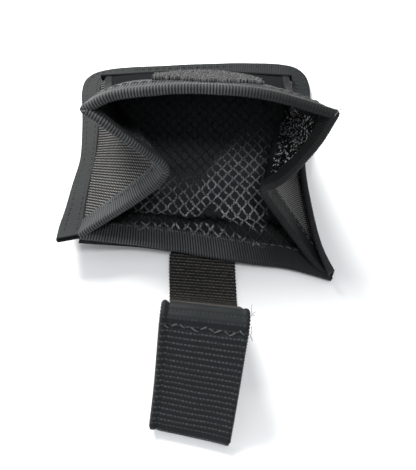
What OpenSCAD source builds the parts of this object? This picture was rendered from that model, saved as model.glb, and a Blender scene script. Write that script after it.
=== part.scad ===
/* [Pouch] */
// Distance between the two side seams
seam_width = 92; // [84:1:100]
// Length of the back panel from the mouth rim to the far seam
back_length = 97; // [90:1:105]
// Length of the front panel along its side seams
front_length = 85; // [80:1:90]
// How far the front panel's rim is set back at its middle
rim_setback = 8; // [4:1:10]
// Height of the front panel's arch
front_arch = 8; // [4:1:10]
// Angle between the front and back panels, as the pouch stands open
open_angle = 40; // [34:1:44]
// Angle between a side seam and the fold of its gusset
fold_angle = 27.5; // [26:0.5:30]
// Length of the gusset's fold line
fold_length = 88; // [82:1:92]

/* [Seams and bindings] */
// Width of the bound seam round the back panel
flange_width = 8; // [6:1:10]
// Radius of the bound seam's two far corners
corner_radius = 11; // [6:1:14]
// Width that the grosgrain binding covers
binding_width = 9; // [8:0.5:11]
// Thickness of the grosgrain
grosgrain_t = 0.5; // [0.4:0.1:0.6]
// Distance between stitches
stitch_pitch = 6; // [5:1:9]

/* [Layers] */
// Thickness of the outer nylon
nylon_t = 0.7; // [0.5:0.1:0.8]
// Thickness of the foam in the front and back panels
foam_t = 2; // [1.5:0.25:2.5]
// Thickness of the mesh lining
mesh_t = 0.4; // [0.3:0.1:0.5]

/* [Strap] */
// Width of the webbing
webbing_width = 25; // [20:1:30]
// Thickness of the webbing
webbing_t = 1.2; // [1:0.1:1.2]
// Distance of the strap from the pouch's centre line
strap_offset = 2; // [0:0.5:4]
// Length of webbing sewn under the back panel
anchor_length = 38; // [25:1:45]
// Width of the hook-and-loop tab
tab_width = 29; // [26:1:34]
// Thickness of each of the tab's two layers
tab_layer_t = 1.2; // [0.9:0.1:1.3]
// Width of the loop patch on the front panel
patch_width = 42; // [36:1:46]
// Length of the loop patch
patch_length = 36; // [30:1:44]

/* [Hidden] */
$fn = 64;

// heights of the back panel's layers above the surface that the pouch lies on
nylon_z = webbing_t + grosgrain_t;
foam_z = nylon_z + nylon_t;
mesh_z = foam_z + foam_t;
back_top = mesh_z + mesh_t;

// a gusset's four layers, from its outer face inwards
gusset_t = nylon_t + mesh_t + 2 * grosgrain_t;
play = 0.4;

// the far seam, where the front panel and all four gusset halves turn
seam_half = seam_width / 2;
hinge_y = back_length;
hinge_z = back_top + grosgrain_t + gusset_t + play;
outer_half = seam_half + flange_width;
far_edge = back_length + flange_width + 2;

// the front panel's layers, above a plane through the far seam
front_play = 1.4;
front_mesh_z = gusset_t + front_play;
front_foam_z = front_mesh_z + mesh_t;
front_nylon_z = front_foam_z + foam_t;
front_top = front_nylon_z + nylon_t;
front_half = seam_half - 1;
front_start = 3;
arch_length = front_length + 5;

// the gusset's fold: where it lies when the pouch is open by open_angle
fold_turn = acos(cos(fold_angle) / cos(open_angle / 2));
gusset_tilt = atan2(cos(fold_turn) * sin(open_angle / 2), sin(fold_turn));
apex_cut = 14;
seam_gap = 0.6;
front_gap = 2;
fold_gap = 0.2;

// the strap's path in the Y-Z plane, as two Bezier curves: the webbing's and the tab's
webbing_path = [[-2, 0.65], [-13, 0.65], [-20, 14], [-29.2, 33.6]];
tab_path = [[-30.6, 34.8], [-38, 35.6], [-50, 16], [-64, 1.95]];
path_steps = 18;

gap = 0.05;
thread_t = 0.4;
thread_w = 0.7;
stitch_l = 3.6;

function mix(a, b, t) = a + (b - a) * t;
function bezier(p, t) =
    p[0] * pow(1 - t, 3) + 3 * p[1] * t * pow(1 - t, 2) + 3 * p[2] * t * t * (1 - t) + p[3] * pow(t, 3);
function unit(v) = v / norm(v);
// unit normal of a Bezier curve, to its upper side when it runs towards -Y
function bezier_normal(p, t) =
    let (d = unit(bezier(p, min(1, t + 0.01)) - bezier(p, max(0, t - 0.01)))) [d[1], -d[0]];

// height of the front panel's arch at x across and s along it, and its length at x
function across(x) = 1 - pow(x / front_half, 2);
function arch(x, s) = front_arch * max(0, across(x)) * sin(180 * s / arch_length);
function rim_at(x) = front_length - rim_setback * max(0, across(x));

// a closed solid through rings of points, where a ring's first half faces its second half;
// each side face is split on its shorter diagonal, so that two layers split the same way
module loft(rings) {
    n = len(rings[0]);
    last = (len(rings) - 1) * n;
    points = [for (r = rings) each r];
    sides = [for (i = [0 : n : last - n], j = [0 : n - 1])
        let (a = i + j, b = i + (j + 1) % n, c = b + n, d = a + n)
        each (norm(points[a] - points[c]) < norm(points[b] - points[d])
            ? [[a, b, c], [a, c, d]] : [[a, b, d], [b, c, d]])];
    ends = [for (j = [0 : n / 2 - 2]) let (a = j, b = j + 1, c = n - 2 - j, d = n - 1 - j)
        each [[d, c, b], [d, b, a], [last + a, last + b, last + c], [last + a, last + c, last + d]]];
    polyhedron(points, concat(sides, ends), convexity = 8);
}

// a strip that follows a Bezier curve in the Y-Z plane, between two heights above it
module ribbon(path, low, high, t0 = 0, t1 = 1) {
    steps = [for (i = [0 : path_steps]) mix(t0, t1, i / path_steps)];
    above = [for (t = steps) bezier(path, t) + high * bezier_normal(path, t)];
    below = [for (i = [path_steps : -1 : 0])
        bezier(path, steps[i]) + low * bezier_normal(path, steps[i])];
    polygon(concat(above, below));
}

// an outline in Y and Z, given a width in X
module across_x(width, x = 0)
    translate([x - width / 2, 0, 0]) rotate([90, 0, 90]) linear_extrude(width) children();

// the back panel's outline, grown or shrunk, with its two far corners rounded
module panel_outline(half, far, r, near = 0) {
    translate([-half, near]) square([2 * half, far - r - near]);
    translate([-half + r, near]) square([2 * (half - r), far - near]);
    for (side = [-1, 1]) translate([side * (half - r), far - r]) circle(r);
}

module slab(z, t) translate([0, 0, z]) linear_extrude(t) children();

// the bound seam in plan: a U round the two sides and the far end
module seam_outline(inset) difference() {
    panel_outline(outer_half - inset, far_edge - inset, corner_radius - inset, inset);
    translate([-seam_half, -1]) square([seam_width, back_length + 1]);
}

// moves what is drawn in the front panel's own plane to where the panel is
module in_front() translate([0, hinge_y, hinge_z]) rotate([-open_angle, 0, 0]) children();

// distances along the front panel at x where its layers and its rim binding bend
function binding_rows(x) = [for (k = [0 : 3]) rim_at(x) - binding_width * (1 - k / 3)];
function front_rows(x) =
    concat([for (k = [0 : 4]) mix(front_start, rim_at(x) - binding_width, k / 5)], binding_rows(x));
front_xs = [for (i = [0 : 12]) mix(-front_half, front_half, i / 12)];

// a sheet that follows the front panel's arch, between two heights
module front_sheet(low, high) loft([for (x = front_xs)
    let (row = front_rows(x), last = len(row) - 1)
    concat([for (s = row) [x, -s, arch(x, s) + high]],
           [for (k = [last : -1 : 0]) [x, -row[k], arch(x, row[k]) + low]])]);

// one half of a gusset, flat, with the seam along X and the fold above it
module gusset_outline(seam_l, gap_y, past = 0) {
    seam_end = [seam_l + past, gap_y];
    fold_end = fold_length * [cos(fold_angle), sin(fold_angle)]
        + fold_gap * [sin(fold_angle), -cos(fold_angle)] + [past, 0];
    fold_start = [apex_cut, apex_cut * tan(fold_angle) - fold_gap / cos(fold_angle)];
    polygon([[apex_cut, gap_y], seam_end, fold_end, fold_start]);
}

// the strip of a gusset half that the rim binding covers
module binding_outline(seam_l, gap_y) intersection() {
    gusset_outline(seam_l, gap_y, grosgrain_t);
    translate([seam_l + grosgrain_t, 0])
        rotate(atan2(fold_length * sin(fold_angle), fold_length * cos(fold_angle) - seam_l))
            translate([-200, 0]) square([400, binding_width]);
}

// moves what is drawn in a gusset half's own plane to the lower or upper half of one side
module in_gusset(side, upper) {
    turn = [0, sin(open_angle / 2), cos(open_angle / 2)];
    translate([0, hinge_y, hinge_z])
        mirror([side > 0 ? 1 : 0, 0, 0])
            mirror(upper ? turn : [0, 0, 0])
                translate([-seam_half, 0, 0]) rotate([0, -gusset_tilt, 0]) rotate([0, 0, -90])
                    children();
}

function seam_of(upper) = upper ? front_length : back_length - 1;
function gap_of(upper) = upper ? front_gap : seam_gap;

module gusset_sheet(side, upper, depth, t) in_gusset(side, upper)
    translate([0, 0, -depth - t]) linear_extrude(t) gusset_outline(seam_of(upper), gap_of(upper));

module gusset_fabric(side, upper)
    color([0.12, 0.12, 0.13]) gusset_sheet(side, upper, grosgrain_t, nylon_t);

module gusset_mesh(side, upper)
    color([0.2, 0.2, 0.2]) gusset_sheet(side, upper, grosgrain_t + nylon_t, mesh_t);

module gusset_binding(side, upper) color([0.3, 0.31, 0.32]) in_gusset(side, upper) difference() {
    translate([0, 0, -gusset_t])
        linear_extrude(gusset_t) binding_outline(seam_of(upper), gap_of(upper));
    translate([0, 0, -gusset_t + grosgrain_t]) linear_extrude(nylon_t + mesh_t)
        gusset_outline(seam_of(upper), gap_of(upper));
}

// a row of stitches along X
module stitches(from, to) {
    count = round((to - from) / stitch_pitch);
    for (i = [0 : count - 1])
        translate([from + (i + 0.5) * (to - from) / count - stitch_l / 2, -thread_w / 2, 0])
            cube([stitch_l, thread_w, thread_t]);
}

module back_panel() color([0.1, 0.1, 0.11]) slab(nylon_z, nylon_t)
    panel_outline(outer_half - grosgrain_t, far_edge - grosgrain_t, corner_radius - grosgrain_t);

module back_foam() color([0.25, 0.25, 0.25]) slab(foam_z, foam_t)
    translate([-seam_half + 0.5, 0]) square([seam_width - 1, back_length - 0.5]);

module back_lining() color([0.2, 0.2, 0.2]) slab(mesh_z, mesh_t)
    translate([-seam_half + 0.5, 0]) square([seam_width - 1, back_length - 0.5]);

module back_rim_binding() color([0.3, 0.31, 0.32]) difference() {
    translate([-seam_half + 0.5, -grosgrain_t, nylon_z - grosgrain_t])
        cube([seam_width - 1, binding_width, back_top - nylon_z + 2 * grosgrain_t]);
    translate([-seam_half, 0, nylon_z]) cube([seam_width, binding_width, back_top - nylon_z]);
}

module back_rim_thread() color([0.15, 0.15, 0.15])
    translate([0, binding_width - 2.5, back_top + grosgrain_t]) stitches(-36, 36);

// the raw edges of the gussets and the end, folded into the bound seam under the back panel
module seam_allowance() color([0.12, 0.12, 0.13])
    slab(grosgrain_t, nylon_z - grosgrain_t) seam_outline(grosgrain_t);

module seam_binding() color([0.3, 0.31, 0.32]) difference() {
    slab(0, foam_z + grosgrain_t) seam_outline(0);
    slab(grosgrain_t, foam_z - grosgrain_t)
        panel_outline(outer_half - grosgrain_t, far_edge - grosgrain_t, corner_radius - grosgrain_t, -1);
}

module seam_thread() color([0.15, 0.15, 0.15]) translate([0, 0, foam_z + grosgrain_t]) {
    for (side = [-1, 1]) translate([side * (outer_half - 5), 0, 0])
        rotate(90) stitches(3, back_length - 6);
    translate([0, back_length + 6, 0]) stitches(-seam_half + 6, seam_half - 6);
}

// the short wall that closes the far end between the two panels
module end_gusset() color([0.12, 0.12, 0.13])
    translate([-front_half + 2, back_length + 4, foam_z + grosgrain_t + gap])
        cube([2 * front_half - 4, nylon_t, hinge_z - foam_z + 4]);

module strap_anchor() color([0.13, 0.12, 0.12]) across_x(webbing_width, strap_offset)
    polygon([[-1.2, 0], [anchor_length, 0], [anchor_length, nylon_z], [binding_width + 1, nylon_z],
             [binding_width + 1, webbing_t], [-1.2, webbing_t]]);

module front_panel() color([0.1, 0.1, 0.11]) in_front()
    front_sheet(front_nylon_z, front_top);

module front_foam() color([0.25, 0.25, 0.25]) in_front()
    front_sheet(front_foam_z, front_nylon_z);

module front_lining() color([0.2, 0.2, 0.2]) in_front()
    front_sheet(front_mesh_z, front_foam_z);

// the binding's section at x: a U round the front panel's rim, its outer points and then its inner ones
function rim_section(x) =
    let (rim = rim_at(x), end = arch(x, rim), row = binding_rows(x),
         face = function (order, z) [for (k = order) [x, -row[k], arch(x, row[k]) + z]],
         tip = function (past, z) [x, -rim - past, end + z],
         low = front_mesh_z - gap, high = front_top + gap)
    concat(face([0 : 3], high + grosgrain_t), [tip(grosgrain_t + gap, high + grosgrain_t)],
           [tip(grosgrain_t + gap, low - grosgrain_t)], face([3 : -1 : 0], low - grosgrain_t),
           face([0 : 3], low), [tip(gap, low), tip(gap, high)], face([3 : -1 : 0], high));

module front_rim_binding() color([0.3, 0.31, 0.32]) in_front()
    loft([for (x = front_xs) rim_section(x)]);

module front_rim_thread() color([0.15, 0.15, 0.15]) in_front() for (i = [-5 : 5])
    let (x = i * stitch_pitch, s = rim_at(x) - binding_width + 2.5,
         slope = atan2(arch(x + 1, s) - arch(x - 1, s), 2))
    translate([x, -s, arch(x, s) + front_top + grosgrain_t + 0.25]) rotate([0, -slope, 0])
        translate([-stitch_l / 2, -thread_w / 2, 0]) cube([stitch_l, thread_w, thread_t]);

// the bound seam along one side of the front panel
module front_seam(side) color([0.3, 0.31, 0.32]) in_front()
    translate([side > 0 ? front_half + gap : -front_half - gap - flange_width + 2, -front_length,
               front_foam_z])
        cube([flange_width - 2, front_length - 8, front_top - front_foam_z]);

module loop_patch() color([0.16, 0.16, 0.17]) in_front() {
    steps = 10;
    start = front_length - rim_setback - binding_width - patch_length - 1;
    base = front_top + 0.1;
    loft([for (i = [0 : steps])
        let (x = mix(-patch_width / 2, patch_width / 2, i / steps),
             row = [for (k = [0 : steps]) mix(start, start + patch_length, k / steps)])
        concat([for (s = row) [x, -s, arch(x, s) + base + 1.6]],
               [for (k = [steps : -1 : 0]) [x, -row[k], arch(x, row[k]) + base]])]);
}

module strap_webbing() color([0.13, 0.12, 0.12])
    across_x(webbing_width, strap_offset) ribbon(webbing_path, -webbing_t / 2, webbing_t / 2);

module tab_tape() color([0.22, 0.24, 0.25])
    across_x(tab_width, strap_offset) ribbon(tab_path, 0, tab_layer_t);

module tab_hook() color([0.1, 0.1, 0.1])
    across_x(tab_width, strap_offset) ribbon(tab_path, -tab_layer_t, 0);

module tab_thread() color([0.35, 0.36, 0.36]) {
    t = 0.14;
    p = bezier(tab_path, t) + (tab_layer_t + 0.1) * bezier_normal(tab_path, t);
    n = bezier_normal(tab_path, t);
    translate([strap_offset, p[0], p[1]]) rotate([atan2(-n[0], n[1]), 0, 0])
        for (i = [-3 : 3])
            translate([i * 4 - 1.3, -thread_w / 2, 0]) cube([2.6, thread_w, thread_t]);
}

back_panel();
back_foam();
back_lining();
back_rim_binding();
back_rim_thread();
seam_allowance();
seam_binding();
seam_thread();
end_gusset();
strap_anchor();
front_panel();
front_foam();
front_lining();
front_rim_binding();
front_rim_thread();
front_seam(-1);  // front_seam_left
front_seam(1);  // front_seam_right
loop_patch();
gusset_fabric(-1, false);  // gusset_lower_left
gusset_mesh(-1, false);  // gusset_lower_lining_left
gusset_binding(-1, false);  // gusset_lower_binding_left
gusset_fabric(-1, true);  // gusset_upper_left
gusset_mesh(-1, true);  // gusset_upper_lining_left
gusset_binding(-1, true);  // gusset_upper_binding_left
gusset_fabric(1, false);  // gusset_lower_right
gusset_mesh(1, false);  // gusset_lower_lining_right
gusset_binding(1, false);  // gusset_lower_binding_right
gusset_fabric(1, true);  // gusset_upper_right
gusset_mesh(1, true);  // gusset_upper_lining_right
gusset_binding(1, true);  // gusset_upper_binding_right
strap_webbing();
tab_tape();
tab_hook();
tab_thread();
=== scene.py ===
import math
import random

import bpy
import numpy as np
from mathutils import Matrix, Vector


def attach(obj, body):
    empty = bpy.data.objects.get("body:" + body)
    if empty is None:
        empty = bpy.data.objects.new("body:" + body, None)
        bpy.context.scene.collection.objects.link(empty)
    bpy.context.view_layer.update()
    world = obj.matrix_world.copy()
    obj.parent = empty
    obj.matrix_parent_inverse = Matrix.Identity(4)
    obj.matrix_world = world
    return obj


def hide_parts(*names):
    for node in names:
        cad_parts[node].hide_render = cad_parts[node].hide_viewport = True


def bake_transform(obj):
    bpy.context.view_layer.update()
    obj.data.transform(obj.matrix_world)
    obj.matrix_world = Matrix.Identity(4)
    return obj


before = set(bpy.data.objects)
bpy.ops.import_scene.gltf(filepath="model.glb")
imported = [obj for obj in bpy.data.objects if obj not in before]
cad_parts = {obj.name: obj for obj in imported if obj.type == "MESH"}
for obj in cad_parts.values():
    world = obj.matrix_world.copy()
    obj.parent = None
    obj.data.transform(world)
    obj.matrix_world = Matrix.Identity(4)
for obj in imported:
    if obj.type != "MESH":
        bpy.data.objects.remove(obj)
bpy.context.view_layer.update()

MM = 0.001

# ---------------------------------------------------------------- camera, light and floor
CAMERA_AT = (5, -105, 209)      # mm, in front of the mouth and above it
CAMERA_ELEVATION = 60           # degrees above the horizon
CAMERA_LENS = 45.3              # mm, on a 36 mm sensor


def add_camera():
    data = bpy.data.cameras.new("camera")
    data.lens = CAMERA_LENS
    data.sensor_width = 36
    data.clip_start = 0.01
    camera = bpy.data.objects.new("camera", data)
    camera.location = Vector(CAMERA_AT) * MM
    camera.rotation_euler = (math.radians(90 - CAMERA_ELEVATION), 0, 0)
    bpy.context.collection.objects.link(camera)
    bpy.context.scene.camera = camera
    bpy.context.scene.view_settings.view_transform = "Standard"


def add_area_light(name, at, aim, size, power, colour=(1, 1, 1)):
    data = bpy.data.lights.new(name, "AREA")
    data.shape = "DISK"
    data.size = size
    data.energy = power
    data.color = colour
    light = bpy.data.objects.new(name, data)
    light.location = Vector(at)
    light.rotation_euler = (Vector(aim) - Vector(at)).to_track_quat("-Z", "Y").to_euler()
    bpy.context.collection.objects.link(light)


def add_studio():
    world = bpy.data.worlds.new("studio")
    world.use_nodes = True
    tree = world.node_tree
    background = tree.nodes["Background"]
    background.inputs["Color"].default_value = (0.96, 0.98, 1, 1)
    split = tree.nodes.new("ShaderNodeSeparateXYZ")
    tree.links.new(tree.nodes.new("ShaderNodeTexCoord").outputs["Generated"], split.inputs[0])
    across = tree.nodes.new("ShaderNodeMapRange")       # brighter on the left than on the right
    across.inputs["From Min"].default_value, across.inputs["From Max"].default_value = -1, 1
    across.inputs["To Min"].default_value, across.inputs["To Max"].default_value = 0.9, 0.34
    tree.links.new(split.outputs[0], across.inputs["Value"])
    tree.links.new(across.outputs[0], background.inputs["Strength"])
    bpy.context.scene.world = world
    add_area_light("key", (-0.24, 0.44, 0.50), (0, 0.02, 0), 0.30, 7.4, (1, 0.985, 0.96))
    add_area_light("fill", (0.10, -0.16, 0.58), (0, 0.02, 0), 0.14, 1.2, (0.95, 0.98, 1))
    bpy.ops.mesh.primitive_plane_add(size=6, location=(0, 0, 0))
    floor = bpy.context.object
    floor.name = "floor"
    material = bpy.data.materials.new("floor")
    material.use_nodes = True
    shader = material.node_tree.nodes["Principled BSDF"]
    shader.inputs["Base Color"].default_value = (0.94, 0.94, 0.94, 1)
    shader.inputs["Roughness"].default_value = 0.9
    floor.data.materials.append(material)


# ---------------------------------------------------------------- curves and surfaces
class Path:
    """A smooth curve through a few points in mm, read in metres by its share of the length."""

    def __init__(self, points, steps=16):
        p = np.array(points, float) * MM
        gaps = np.linalg.norm(np.diff(p, axis=0), axis=1)
        slope = np.diff(p, axis=0) / gaps[:, None]
        tangent = np.vstack([slope[:1], (slope[1:] + slope[:-1]) / 2, slope[-1:]])
        dense, knots = [], []
        t = np.arange(steps)[:, None] / steps
        for i, gap in enumerate(gaps):
            a, b = tangent[i] * gap, tangent[i + 1] * gap
            dense.append((2 * t**3 - 3 * t**2 + 1) * p[i] + (t**3 - 2 * t**2 + t) * a
                         + (3 * t**2 - 2 * t**3) * p[i + 1] + (t**3 - t**2) * b)
            knots.append(i + t[:, 0])
        self.points = np.vstack(dense + [p[-1:]])
        self.knots = np.append(np.concatenate(knots), len(gaps)) / len(gaps)
        run = np.append(0, np.cumsum(np.linalg.norm(np.diff(self.points, axis=0), axis=1)))
        self.length = run[-1] / MM
        self.share = run / run[-1]

    def __call__(self, t):
        return np.stack([np.interp(t, self.share, self.points[:, k]) for k in range(3)], -1)

    def by_knot(self, t):
        return np.stack([np.interp(t, self.knots, self.points[:, k]) for k in range(3)], -1)


def coons(near, far, left, right):
    """The surface between four curves: near and far run left to right, left and right near to far."""
    def surface(u, v):
        u, v = np.broadcast_arrays(np.asarray(u, float), np.asarray(v, float))
        a, b = u[..., None], v[..., None]
        n0, n1 = near(np.array([0.0, 1.0]))
        f0, f1 = far(np.array([0.0, 1.0]))
        return ((1 - b) * near(u) + b * far(u) + (1 - a) * left(v) + a * right(v)
                - (1 - a) * (1 - b) * n0 - a * (1 - b) * n1 - (1 - a) * b * f0 - a * b * f1)
    return surface


def ruled(left, right):
    """The surface between two curves of matching points, its v even along their middle line."""
    table = np.linspace(0, 1, 400)
    middle = (left.by_knot(table) + right.by_knot(table)) / 2
    run = np.append(0, np.cumsum(np.linalg.norm(np.diff(middle, axis=0), axis=1)))

    def surface(u, v):
        u, v = np.broadcast_arrays(np.asarray(u, float), np.asarray(v, float))
        k = np.interp(v, run / run[-1], table)
        return (1 - u[..., None]) * left.by_knot(k) + u[..., None] * right.by_knot(k)
    return surface


def unit(v):
    return v / np.maximum(np.linalg.norm(v, axis=-1, keepdims=True), 1e-12)


def normals(surface, u, v, step=0.004):
    du = surface(np.minimum(u + step, 1), v) - surface(np.maximum(u - step, 0), v)
    dv = surface(u, np.minimum(v + step, 1)) - surface(u, np.maximum(v - step, 0))
    return unit(np.cross(du, dv))


def lifted(surface, lift):
    """The surface moved along its normals by lift(u, v) in mm."""
    def moved(u, v):
        u, v = np.broadcast_arrays(np.asarray(u, float), np.asarray(v, float))
        return surface(u, v) + normals(surface, u, v, 0.02) * (lift(u, v) * MM)[..., None]
    return moved


def wave(x):
    """0 to 1 and back, once for each whole number of x."""
    return 0.5 - 0.5 * np.cos(2 * np.pi * x)


def hill(x, centre, width):
    return np.exp(-((x - centre) / width) ** 2)


def crumple(x, y, seed, size=14.0):
    """Soft uneven wrinkles, about -1 to 1, over x and y in mm."""
    rng = np.random.default_rng(seed)
    total = 0 * x
    for _ in range(7):
        angle, phase = rng.uniform(0, np.pi), rng.uniform(0, 2 * np.pi)
        pitch = size * rng.uniform(0.5, 1.8)
        total = total + np.sin((x * math.cos(angle) + y * math.sin(angle)) * 2 * np.pi / pitch + phase)
    return total / 4


# ---------------------------------------------------------------- meshes
RIB_PITCH = 1.05                # mm between the grosgrain's ribs
TAPE_THICKNESS = 0.5            # mm of one layer of grosgrain
RING_STEP = 0.26                # mm between the rings of a tape's mesh
STITCH_PITCH, STITCH_LENGTH = 3.2, 2.4      # mm


def mesh_object(name, points, faces, material, uv=None):
    mesh = bpy.data.meshes.new(name)
    mesh.from_pydata(np.asarray(points).tolist(), [], faces)
    if uv is not None:
        layer = mesh.uv_layers.new(name="cloth")
        index = np.zeros(len(mesh.loops), np.int32)
        mesh.loops.foreach_get("vertex_index", index)
        layer.data.foreach_set("uv", np.asarray(uv, np.float32)[index].ravel())
    mesh.polygons.foreach_set("use_smooth", [True] * len(mesh.polygons))
    mesh.materials.append(material)
    obj = bpy.data.objects.new(name, mesh)
    bpy.context.collection.objects.link(obj)
    return obj


def grid_faces(rows, columns, start=0, flip=False, wrap=False):
    i, j = np.meshgrid(np.arange(rows - 1), np.arange(columns if wrap else columns - 1), indexing="ij")
    k = (j + 1) % columns
    quads = np.stack([start + i * columns + j, start + i * columns + k,
                      start + (i + 1) * columns + k, start + (i + 1) * columns + j], -1).reshape(-1, 4)
    return (quads[:, ::-1] if flip else quads).tolist()


def sheet_mesh(name, surface, size, material, low, high, grain=0.9, span=(0, 1, 0, 1), relief=None,
               axes=None, floor=None):
    """A closed sheet on a surface, from low to high above it in mm, with UVs in mm of cloth.
    axes gives two directions to measure the cloth along, and floor the lowest height it reaches."""
    width, length = size
    nu, nv = max(4, int(width / grain)), max(4, int(length / grain))
    u, v = np.meshgrid(np.linspace(span[0], span[1], nu + 1), np.linspace(span[2], span[3], nv + 1))
    base, up = surface(u, v), normals(surface, u, v)
    if axes is None:
        x, y = (u - span[0]) / (span[1] - span[0]) * width, (v - span[2]) / (span[3] - span[2]) * length
    else:
        x, y = base @ np.array(axes[0]) / MM, base @ np.array(axes[1]) / MM
    lift = high + (relief(x, y) if relief else 0 * x)
    top = base + up * (lift * MM)[..., None]
    bottom = base + up * low * MM
    if floor is not None:
        bottom[..., 2] = np.maximum(bottom[..., 2], floor * MM)
    count = u.size
    points = np.vstack([top.reshape(-1, 3), bottom.reshape(-1, 3)])
    uv = np.vstack([np.stack([x, y], -1).reshape(-1, 2)] * 2)
    faces = grid_faces(nv + 1, nu + 1) + grid_faces(nv + 1, nu + 1, count, True)
    rim = ([j for j in range(nu)] + [i * (nu + 1) + nu for i in range(nv)]
           + [nv * (nu + 1) + j for j in range(nu, 0, -1)] + [i * (nu + 1) for i in range(nv, 0, -1)])
    for a, b in zip(rim, rim[1:] + rim[:1]):
        faces.append([b, a, a + count, b + count])
    return mesh_object(name, points, faces, material, uv)


def tape_mesh(name, face, length, width, half, material, rib=0.13, seed=1, wander=0.0):
    """Grosgrain folded round an edge. face(s, a) gives a point, its normal and the inward direction
    at a share s of the edge's length and a mm in from it. half is half the thickness it wraps."""
    rng = np.random.default_rng(seed)
    t = TAPE_THICKNESS
    rings = int(length / RING_STEP)
    s = np.linspace(0, 1, rings + 1)
    across = np.linspace(width, 0, 9)
    turn = np.radians(np.linspace(90, -90, 9)[1:-1])
    section = [(a, half + t, 0, 1) for a in across]
    section += [(-math.cos(d) * (half + t) * 0.8, math.sin(d) * (half + t), -math.cos(d), math.sin(d))
                for d in turn]
    section += [(a, -half - t, 0, -1) for a in across[::-1]]
    section += [(a, -half, 0, 0) for a in across]
    section += [(0.0, -math.sin(d) * half, 0, 0) for d in turn]
    section += [(a, half, 0, 0) for a in across[::-1]]
    count = len(section)
    rib_no = s * length / RIB_PITCH
    strength = 0.3 + 0.9 * rng.random(int(length / RIB_PITCH) + 3)
    ridge = (wave(rib_no) ** 0.7) * strength[np.floor(rib_no).astype(int)] * rib
    sway = wander * np.sin(s * length / 11.0 + seed) + 0.6 * wander * np.sin(s * length / 4.3)
    points = np.zeros((rings + 1, count, 3))
    for j, (a, b, ra, rb) in enumerate(section):
        p, n, inward = face(s, np.full_like(s, max(a, 0.0)))
        rise = b + rb * ridge + (sway if b else 0)
        points[:, j] = p + (inward * (min(a, 0.0) + ra * ridge)[:, None] + n * rise[:, None]) * MM
    faces = grid_faces(rings + 1, count, wrap=True, flip=True)
    last = rings * count
    for j in range(count // 2 - 1):
        k, m = count - 1 - j, count - 2 - j
        faces.append([j, j + 1, m, k])
        faces.append([last + k, last + m, last + j + 1, last + j])
    v = np.cumsum([0] + [math.dist(section[j][:2], section[j + 1][:2]) for j in range(count - 1)])
    uv = np.stack(np.broadcast_arrays((s * length)[:, None], v[None, :]), -1).reshape(-1, 2)
    return mesh_object(name, points.reshape(-1, 3), faces, material, uv)


def along_rim(surface, length):
    """A face function for tape_mesh along a surface's near edge, inwards over its length in mm."""
    def face(s, a):
        v = a / length
        return (surface(s, v), normals(surface, s, v),
                unit(surface(s, 0 * s + 0.02) - surface(s, 0 * s)))
    return face


def along_side(surface, width, side):
    """The same along a surface's left (0) or right (1) edge, inwards over its width in mm."""
    def face(s, a):
        t = s if side else 1 - s
        u = a / width if side == 0 else 1 - a / width
        edge, inside = (0 * s, 0 * s + 0.02) if side == 0 else (0 * s + 1, 0 * s + 0.98)
        return surface(u, t), normals(surface, u, t), unit(surface(inside, t) - surface(edge, t))
    return face


def between(outer, inner, width):
    """A face function between two curves of matching points, evenly spaced along the outer one."""
    table = np.linspace(0, 1, 600)
    run = np.append(0, np.cumsum(np.linalg.norm(np.diff(outer.by_knot(table), axis=0), axis=1)))
    run /= run[-1]

    def face(s, a):
        k = np.interp(s, run, table)
        p, q = outer.by_knot(k), inner.by_knot(k)
        along = outer.by_knot(np.minimum(k + 0.004, 1)) - outer.by_knot(np.maximum(k - 0.004, 0))
        inward = unit(q - p)
        return p + (q - p) * (a / width)[:, None], unit(np.cross(inward, along)), inward
    return face


def tube_mesh(name, lines, material, sides=6):
    """Closed round or flat threads. Each line is (points, normals, half width, half height), the
    first two in metres and the others in mm."""
    points, faces = [], []
    angle = 2 * np.pi * np.arange(sides) / sides
    start = 0
    for p, n, wide, high in lines:
        along = unit(np.gradient(p, axis=0))
        side = unit(np.cross(n, along))
        up = unit(np.cross(along, side))
        wide, high = np.broadcast_to(wide, len(p)), np.broadcast_to(high, len(p))
        ring = (p[:, None] + side[:, None] * (np.cos(angle)[None, :, None] * wide[:, None, None] * MM)
                + up[:, None] * (np.sin(angle)[None, :, None] * high[:, None, None] * MM))
        points.append(ring.reshape(-1, 3))
        faces += grid_faces(len(p), sides, start, wrap=True)
        end = start + (len(p) - 1) * sides
        faces.append([start + m for m in range(sides - 1, -1, -1)])
        faces.append([end + m for m in range(sides)])
        start += len(p) * sides
    return mesh_object(name, np.vstack(points), faces, material)


def stitch_lines(face, a, rise, length, radius=0.24, seed=5):
    """Stitches in a row a mm in from a bound edge and rise mm above it."""
    rng = random.Random(seed)
    lines = []
    count = int(length / STITCH_PITCH)
    for i in range(1, count - 1):
        middle = (i + 0.5) / count
        s = np.linspace(middle - STITCH_LENGTH / 2 / length, middle + STITCH_LENGTH / 2 / length, 6)
        slant = rng.uniform(-0.2, 0.2)
        p, n, _ = face(s, a + slant * np.linspace(-1, 1, 6))
        bow = np.sin(np.linspace(0, np.pi, 6)) * (radius + 0.2) - 0.2 + rng.uniform(-0.04, 0.06)
        taper = radius * np.array([0.5, 0.9, 1, 1, 0.9, 0.5])
        lines.append((p + n * (math.copysign(1, rise) * (abs(rise) + bow) * MM)[:, None], n, taper, taper))
    return lines


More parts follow.
